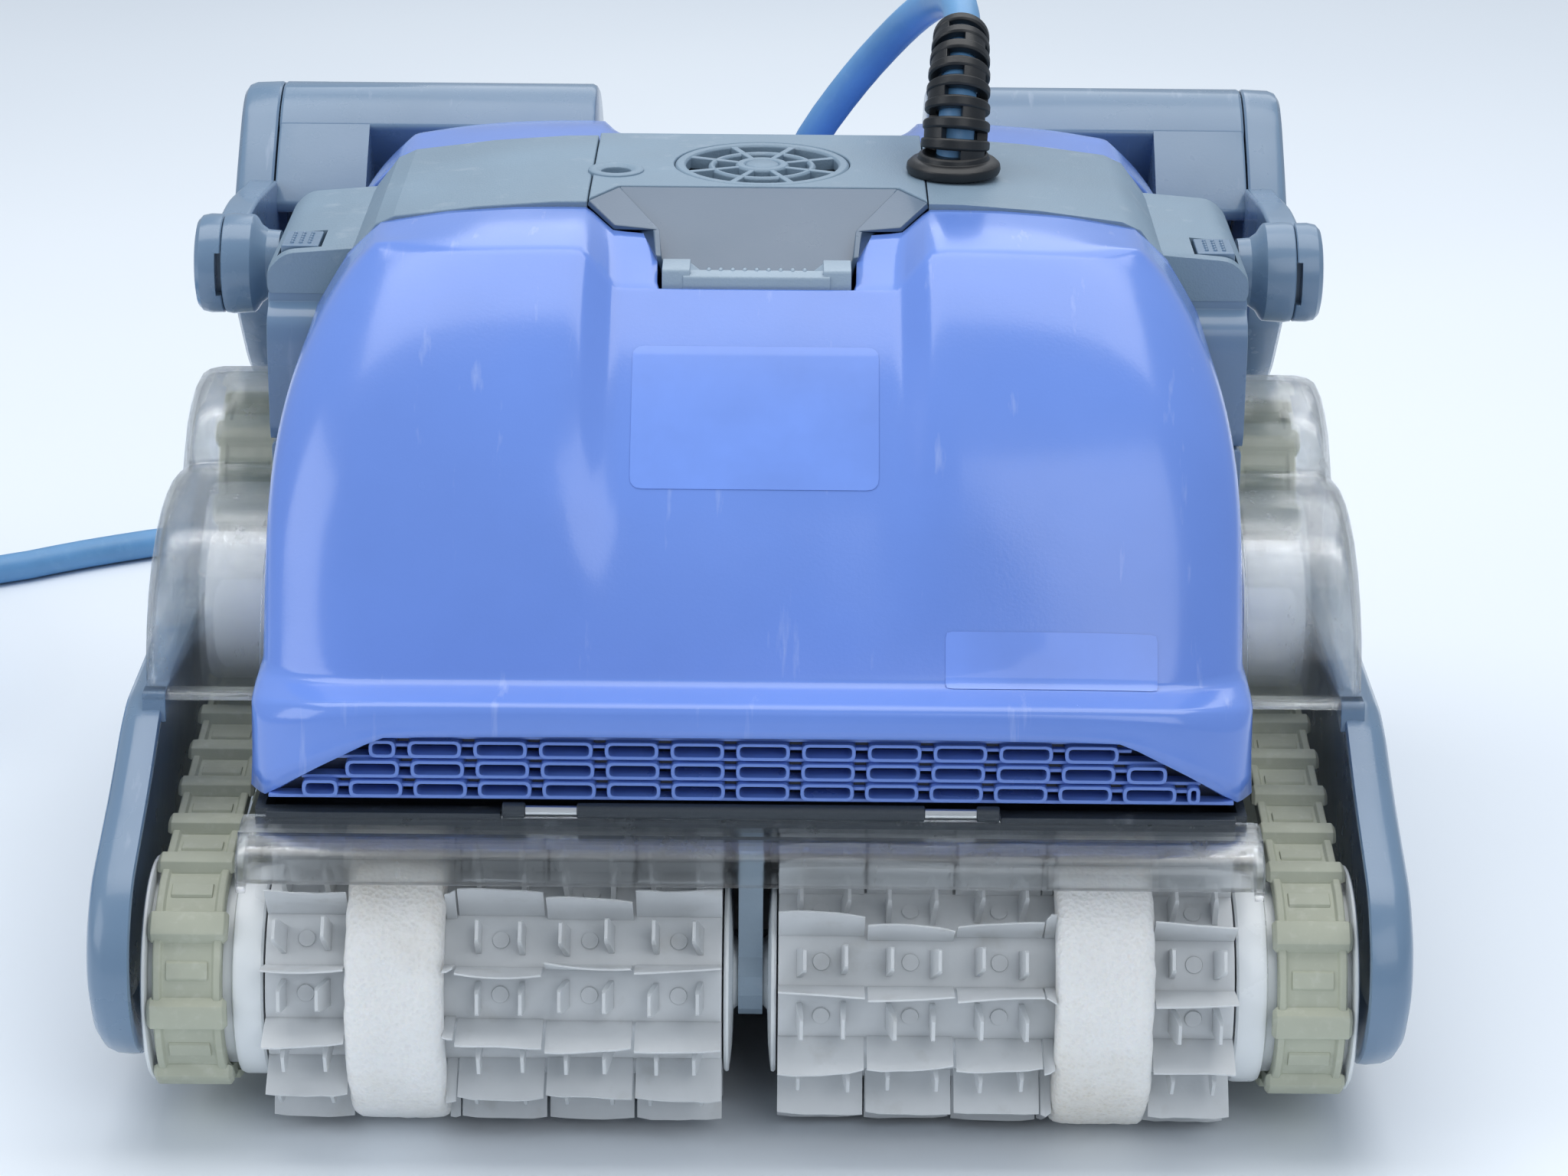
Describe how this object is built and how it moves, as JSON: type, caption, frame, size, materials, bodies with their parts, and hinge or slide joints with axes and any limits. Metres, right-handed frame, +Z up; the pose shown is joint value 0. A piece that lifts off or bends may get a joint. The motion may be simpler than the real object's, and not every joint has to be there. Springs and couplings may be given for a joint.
{
  "type": "robotic pool cleaner",
  "caption": "Robotic pool cleaner on two rubber tracks, with blade and foam brush rollers, an opening filter lid, a float handle and a coiled power cable.",
  "frame": {"origin": "on the floor under the middle of the machine, between the tracks and between the front and rear brushes", "axes": "+X to the right as seen from the front, +Y to the rear, +Z up"},
  "size_m": [0.8645, 0.6178, 0.338],
  "materials": {
    "lid_plastic": "glossy, light scratches",
    "hull_plastic": "fine grain",
    "filter_mesh": "fine woven mesh",
    "band_plastic": "fine grain",
    "slate_plastic": "satin gloss",
    "light_plastic": "satin",
    "clear_plastic": "clear polycarbonate, scuffed",
    "track_rubber": "matte moulded rubber",
    "brush_pvc": "soft satin PVC",
    "ring_foam": "open sponge",
    "white_plastic": "slightly translucent",
    "hinge_steel": "bright",
    "cable_jacket": "smooth jacket",
    "black_rubber": "matte"
  },
  "bodies": {
    "root": {"base_hull": "hull_plastic", "motor_unit": "hull_plastic", "filter_cartridge_front": "filter_mesh", "filter_cartridge_rear": "filter_mesh", "rear_cover": "lid_plastic", "rear_grille": "lid_plastic", "outlet_cover": "band_plastic", "band_left": "band_plastic", "band_right": "band_plastic", "side_panel_left": "slate_plastic", "side_panel_right": "slate_plastic", "track_cover_left": "clear_plastic", "track_cover_right": "clear_plastic", "track_left": "track_rubber", "track_right": "track_rubber", "front_guard": "clear_plastic", "rear_guard": "clear_plastic", "front_bracket": "light_plastic", "rear_bracket": "light_plastic", "lid_hinge_rod": "hinge_steel", "strain_relief": "black_rubber", "power_cord": "cable_jacket", "cord_coil": "cable_jacket", "power_plug": "black_rubber"},
    "front_lid": {"front_lid": "lid_plastic", "front_grille": "lid_plastic"},
    "front_latch": {"front_latch": "light_plastic"},
    "handle": {"handle_arm_left": "slate_plastic", "handle_arm_right": "slate_plastic", "float_left": "slate_plastic", "float_right": "slate_plastic", "float_cap_left": "slate_plastic", "float_cap_right": "slate_plastic", "grip_bar": "slate_plastic"},
    "lock_knob_left": {"lock_knob_left": "slate_plastic"},
    "lock_knob_right": {"lock_knob_right": "slate_plastic"},
    "left_release_button": {"left_release_button": "band_plastic"},
    "right_release_button": {"right_release_button": "band_plastic"},
    "brush_front_left": {"brush_front_left": "brush_pvc", "foam_ring_front_left": "ring_foam", "end_disc_front_left": "white_plastic", "wheel_front_left": "white_plastic"},
    "brush_front_right": {"brush_front_right": "brush_pvc", "foam_ring_front_right": "ring_foam", "end_disc_front_right": "white_plastic", "wheel_front_right": "white_plastic"},
    "brush_rear_left": {"brush_rear_left": "brush_pvc", "foam_ring_rear_left": "ring_foam", "end_disc_rear_left": "white_plastic", "wheel_rear_left": "white_plastic"},
    "brush_rear_right": {"brush_rear_right": "brush_pvc", "foam_ring_rear_right": "ring_foam", "end_disc_rear_right": "white_plastic", "wheel_rear_right": "white_plastic"},
    "drive_pulley_left": {"drive_pulley_left": "white_plastic"},
    "idler_roller_left": {"idler_roller_left": "white_plastic"},
    "drive_pulley_right": {"drive_pulley_right": "white_plastic"},
    "idler_roller_right": {"idler_roller_right": "white_plastic"},
    "impeller": {"impeller": "light_plastic"}
  },
  "joints": [
    {"name": "lid_hinge", "type": "hinge", "parent": "root", "child": "front_lid", "pos_m": [0, -0.1925, 0.1195], "axis": [1, 0, 0], "range_deg": [0, 80]},
    {"name": "latch_press", "type": "hinge", "parent": "front_lid", "child": "front_latch", "pos_m": [0, -0.09, 0.265], "axis": [1, 0, 0], "range_deg": [0, 20], "stiffness_Nm_per_rad": 0.4},
    {"name": "handle_hinge", "type": "hinge", "parent": "root", "child": "handle", "pos_m": [0, 0.015, 0.243], "axis": [1, 0, 0], "range_deg": [0, 24]},
    {"name": "lock_knob_left_turn", "type": "hinge", "parent": "handle", "child": "lock_knob_left", "pos_m": [0, 0.015, 0.243], "axis": [1, 0, 0], "range_deg": [0, 45]},
    {"name": "lock_knob_right_turn", "type": "hinge", "parent": "handle", "child": "lock_knob_right", "pos_m": [0, 0.015, 0.243], "axis": [1, 0, 0], "range_deg": [0, 45]},
    {"name": "left_release_press", "type": "slide", "parent": "root", "child": "left_release_button", "axis": [0, 0, -1], "range_m": [0, 0.002], "stiffness_N_per_m": 600},
    {"name": "right_release_press", "type": "slide", "parent": "root", "child": "right_release_button", "axis": [0, 0, -1], "range_m": [0, 0.002], "stiffness_N_per_m": 600},
    {"name": "brush_front_left_spin", "type": "hinge", "parent": "root", "child": "brush_front_left", "pos_m": [0, -0.165, 0.05], "axis": [1, 0, 0], "continuous": true},
    {"name": "brush_rear_left_spin", "type": "hinge", "parent": "root", "child": "brush_rear_left", "pos_m": [0, 0.165, 0.05], "axis": [1, 0, 0], "continuous": true},
    {"name": "drive_pulley_left_spin", "type": "hinge", "parent": "root", "child": "drive_pulley_left", "pos_m": [0, 0.028, 0.149], "axis": [1, 0, 0], "continuous": true},
    {"name": "idler_roller_left_spin", "type": "hinge", "parent": "root", "child": "idler_roller_left", "pos_m": [0, -0.038, 0.132], "axis": [1, 0, 0], "continuous": true},
    {"name": "brush_front_right_spin", "type": "hinge", "parent": "root", "child": "brush_front_right", "pos_m": [0, -0.165, 0.05], "axis": [1, 0, 0], "continuous": true},
    {"name": "brush_rear_right_spin", "type": "hinge", "parent": "root", "child": "brush_rear_right", "pos_m": [0, 0.165, 0.05], "axis": [1, 0, 0], "continuous": true},
    {"name": "drive_pulley_right_spin", "type": "hinge", "parent": "root", "child": "drive_pulley_right", "pos_m": [0, 0.028, 0.149], "axis": [1, 0, 0], "continuous": true},
    {"name": "idler_roller_right_spin", "type": "hinge", "parent": "root", "child": "idler_roller_right", "pos_m": [0, -0.038, 0.132], "axis": [1, 0, 0], "continuous": true},
    {"name": "impeller_spin", "type": "hinge", "parent": "root", "child": "impeller", "pos_m": [0.001, 0.004, 0.26], "axis": [0, 0, 1], "continuous": true}
  ],
  "couplings": [
    {"joint": "brush_rear_left_spin", "follows": "brush_front_left_spin", "ratio": 1},
    {"joint": "drive_pulley_left_spin", "follows": "brush_front_left_spin", "ratio": 1},
    {"joint": "idler_roller_left_spin", "follows": "brush_front_left_spin", "ratio": -1.0625},
    {"joint": "brush_rear_right_spin", "follows": "brush_front_right_spin", "ratio": 1},
    {"joint": "drive_pulley_right_spin", "follows": "brush_front_right_spin", "ratio": 1},
    {"joint": "idler_roller_right_spin", "follows": "brush_front_right_spin", "ratio": -1.0625}
  ]
}
